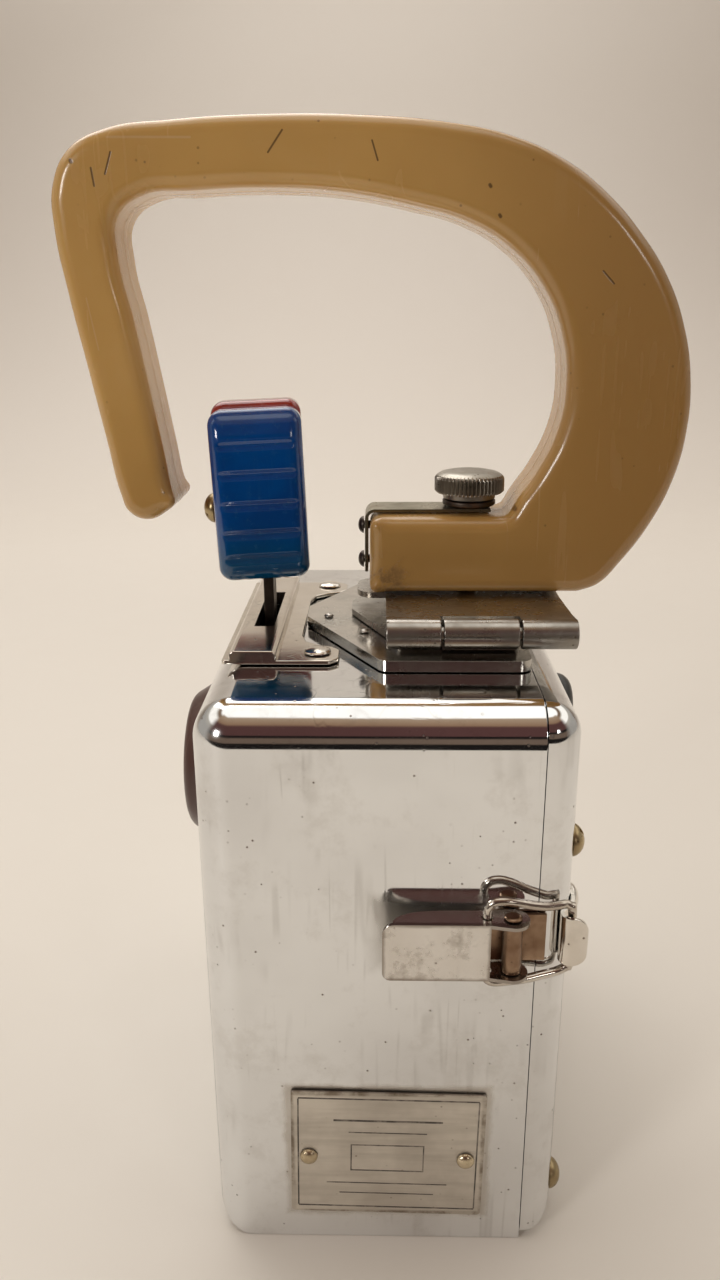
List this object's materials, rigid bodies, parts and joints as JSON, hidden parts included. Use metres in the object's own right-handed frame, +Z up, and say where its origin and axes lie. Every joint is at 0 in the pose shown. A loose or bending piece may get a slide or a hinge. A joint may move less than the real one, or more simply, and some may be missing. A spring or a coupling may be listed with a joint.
{
  "type": "signal lamp",
  "caption": "Hand-held signal lamp: chromed sheet case, hinged battery cover with draw latch, fold-down hook handle, front lens, and a two-colour lever that swings filters past the bulb.",
  "frame": {"origin": "centre of the case floor, on the surface that it stands on", "axes": "+Z up, -X towards the lens, +X towards the battery cover, -Y the side with the latch and the nameplate"},
  "size_m": [0.1423, 0.1324, 0.2507],
  "materials": {
    "chrome": "bright plating over sheet steel, lightly spotted",
    "steel": "dull plated steel",
    "dark_steel": "darkened steel with some rust",
    "brass": "dulled brass",
    "tan_plastic": "worn glossy moulding",
    "blue_plastic": "glossy, faintly see-through",
    "red_plastic": "glossy, faintly see-through",
    "black_plastic": "satin moulding",
    "bezel_brown": "dark brown, satin",
    "rubber": "matte",
    "glass": "clear",
    "red_glass": "red filter",
    "blue_glass": "blue filter",
    "plate_aluminium": "matte plate",
    "cell_jacket": "plain grey jacket"
  },
  "bodies": {
    "case": {"case_shell": "chrome", "case_hinge_leaf": "steel", "cover_hinge_pin": "steel", "guide_plate": "chrome", "guide_rivet_near": "chrome", "guide_rivet_far": "chrome", "base_plate": "steel", "hinge_leaf_lower": "steel", "handle_hinge_pin": "steel", "base_rivet_front": "steel", "base_rivet_side_near": "steel", "base_rivet_side_far": "steel", "latch_base": "steel", "latch_pivot_pin": "dark_steel", "name_plate": "plate_aluminium", "plate_rivet_front": "brass", "plate_rivet_rear": "brass", "lens_bezel": "bezel_brown", "lens": "glass", "lens_gasket": "rubber", "bulb_glass": "glass", "bulb_cap": "brass", "lamp_holder": "brass", "holder_plate": "steel", "reflector": "chrome", "lever_bracket": "steel", "lever_pivot_pin": "steel", "battery_cell_1": "cell_jacket", "battery_cell_2": "cell_jacket", "battery_cell_3": "cell_jacket", "battery_cell_4": "cell_jacket", "cell_tray": "black_plastic", "battery_shelf": "black_plastic"},
    "handle": {"handle": "tan_plastic", "handle_strap": "steel", "strap_screw_upper": "dark_steel", "strap_screw_lower": "dark_steel", "hinge_leaf_upper": "steel"},
    "thumb_washer": {"thumb_washer": "dark_steel"},
    "thumb_screw": {"thumb_screw": "steel"},
    "colour_lever": {"lever_arm": "dark_steel", "knob_blue": "blue_plastic", "knob_red": "red_plastic", "knob_screw": "brass", "filter_frame": "chrome", "filter_red": "red_glass", "filter_blue": "blue_glass"},
    "rear_cover": {"rear_cover": "chrome", "cover_frame": "steel", "cover_gasket": "rubber", "contact_board": "black_plastic", "cover_screw_upper": "brass", "cover_screw_lower": "brass", "cover_hinge_leaf": "steel", "latch_keeper": "steel", "switch_body": "black_plastic"},
    "switch_knob": {"switch_knob": "black_plastic"},
    "latch_lever": {"latch_lever": "chrome"},
    "latch_bail": {"latch_bail": "steel"}
  },
  "joints": [
    {"name": "handle_fold", "type": "hinge", "parent": "case", "child": "handle", "pos_m": [0.0213, -0.0334, 0.1437], "axis": [1, 0, 0], "range_deg": [0, 100]},
    {"name": "thumb_lift", "type": "slide", "parent": "handle", "child": "thumb_washer", "axis": [0, 0, 1], "range_m": [0, 0.002]},
    {"name": "thumb_turn", "type": "hinge", "parent": "thumb_washer", "child": "thumb_screw", "pos_m": [0.0204, 0, 0.17], "axis": [0, 0, 1], "range_deg": [0, 900]},
    {"name": "colour_lever_swing", "type": "hinge", "parent": "case", "child": "colour_lever", "pos_m": [-0.0289, 0, 0.12], "axis": [1, 0, 0], "range_deg": [-28, 28]},
    {"name": "cover_swing", "type": "hinge", "parent": "case", "child": "rear_cover", "pos_m": [0.033, 0.0625, 0.0682], "axis": [0, 0, 1], "range_deg": [0, 110]},
    {"name": "switch_turn", "type": "hinge", "parent": "rear_cover", "child": "switch_knob", "pos_m": [0.0403, 0, 0.114], "axis": [1, 0, 0], "range_deg": [0, 90]},
    {"name": "latch_throw", "type": "hinge", "parent": "case", "child": "latch_lever", "pos_m": [0.0265, -0.0643, 0.0852], "axis": [0, 0, 1], "range_deg": [0, 100]},
    {"name": "bail_swing", "type": "hinge", "parent": "latch_lever", "child": "latch_bail", "pos_m": [0.0212, -0.064, 0.0852], "axis": [0, 0, 1], "range_deg": [-75, 0]}
  ],
  "couplings": [
    {"joint": "thumb_lift", "follows": "thumb_turn", "m_per_rad": 0.0001273},
    {"joint": "bail_swing", "follows": "latch_throw", "ratio": -0.75}
  ]
}
